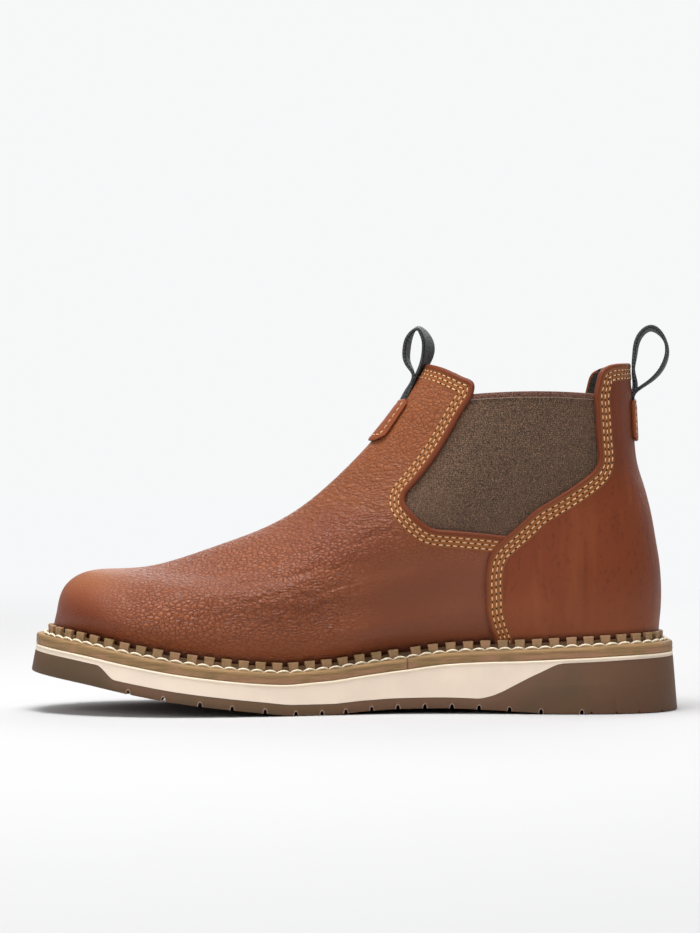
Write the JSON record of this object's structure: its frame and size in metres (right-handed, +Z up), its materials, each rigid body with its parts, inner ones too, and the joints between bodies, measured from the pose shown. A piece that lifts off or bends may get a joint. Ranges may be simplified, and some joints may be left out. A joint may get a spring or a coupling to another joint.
{
  "type": "wedge sole work boot",
  "caption": "Pull-on work boot with elastic side gores, round toe, notched storm welt and a wedge sole with transverse grooves.",
  "frame": {"origin": "on the floor under the middle of the boot's bounding box", "axes": "+Z up; +X from the toe towards the heel, along the boot's length; -Y is the inner side of the foot, +Y the outer side"},
  "size_m": [0.305, 0.1134, 0.1807],
  "materials": {
    "outsole_rubber": "matt brown rubber, finely grained",
    "midsole_foam": "matt cream foam",
    "welt_rubber": "tan, half matt, with a cream lockstitch",
    "insole_board": "matt lined board",
    "upper_leather": "oiled russet leather, pebbled grain, soft sheen",
    "gore_elastic": "matt ribbed elastic",
    "loop_webbing": "black woven webbing"
  },
  "bodies": {
    "root": {"outsole": "outsole_rubber", "midsole": "midsole_foam", "welt": "welt_rubber", "insole": "insole_board", "upper": "upper_leather", "gore_medial": "gore_elastic", "gore_lateral": "gore_elastic", "loop_tab_front": "upper_leather", "loop_tab_back": "upper_leather", "pull_loop_front": "loop_webbing", "pull_loop_back": "loop_webbing"}
  },
  "joints": []
}
